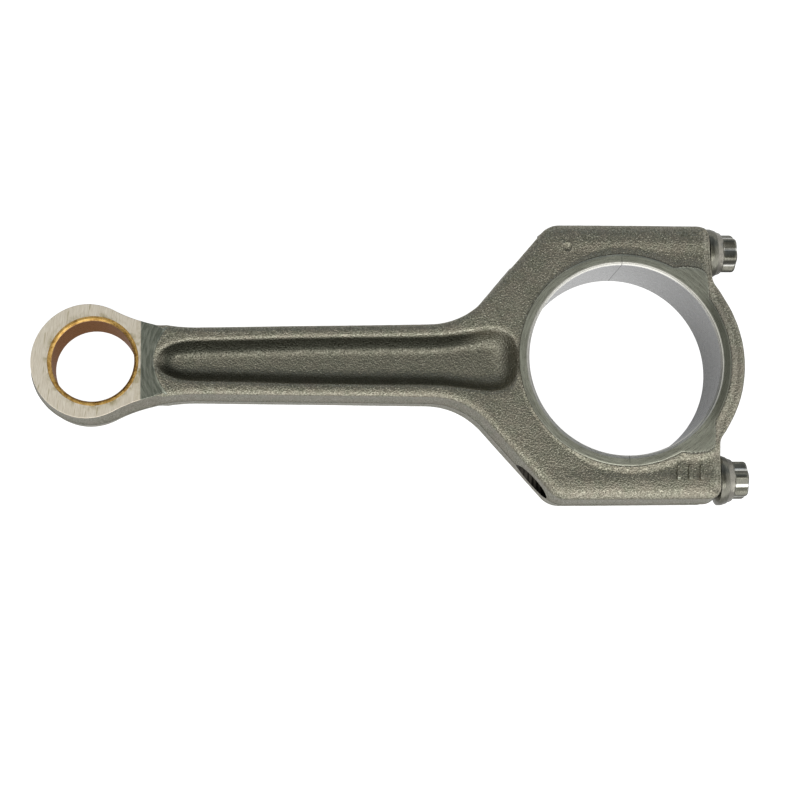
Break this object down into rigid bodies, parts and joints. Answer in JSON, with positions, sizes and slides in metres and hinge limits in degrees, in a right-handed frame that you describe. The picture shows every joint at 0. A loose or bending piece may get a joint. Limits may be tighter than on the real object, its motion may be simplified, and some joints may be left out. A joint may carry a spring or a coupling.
{
  "type": "connecting rod",
  "caption": "Fracture-split forged engine connecting rod with a channelled beam, wedge-shaped bushed small end, and a cap held by flanged six-lobe bolts.",
  "frame": {"origin": "under the middle of the object's box, on the plane that its lower thrust faces lie on", "axes": "+X along the rod from the small end to the cap, +Y across the bolt bosses, +Z along both bores"},
  "size_m": [0.196, 0.0784, 0.0204],
  "materials": {
    "forged_rod": "shot-blasted forging skin, dark olive grey, with machined thrust faces and bores",
    "forged_cap": "shot-blasted forging skin, dark olive grey, with machined thrust faces and bore",
    "bush_bronze": "bored bronze, golden edge and mauve-brown bore",
    "bolt_steel": "bright phosphated bolt steel"
  },
  "bodies": {
    "rod": {"rod_body": "forged_rod", "small_end_bush": "bush_bronze"},
    "cap": {"bearing_cap": "forged_cap"},
    "bolt_upper": {"cap_bolt_upper": "bolt_steel"},
    "bolt_lower": {"cap_bolt_lower": "bolt_steel"}
  },
  "joints": [
    {"name": "cap_draw_off", "type": "slide", "parent": "rod", "child": "cap", "axis": [1, 0, 0], "range_m": [0, 0.0225]},
    {"name": "bolt_upper_turn", "type": "hinge", "parent": "cap", "child": "bolt_upper", "pos_m": [0.0896, 0.03228, 0.0102], "axis": [1, 0, 0], "range_deg": [0, 6480]},
    {"name": "bolt_lower_turn", "type": "hinge", "parent": "cap", "child": "bolt_lower", "pos_m": [0.0896, -0.03228, 0.0102], "axis": [1, 0, 0], "range_deg": [0, 6480]}
  ],
  "couplings": [
    {"joint": "bolt_upper_turn", "follows": "cap_draw_off", "rad_per_m": 5026.5},
    {"joint": "bolt_lower_turn", "follows": "cap_draw_off", "rad_per_m": 5026.5}
  ]
}
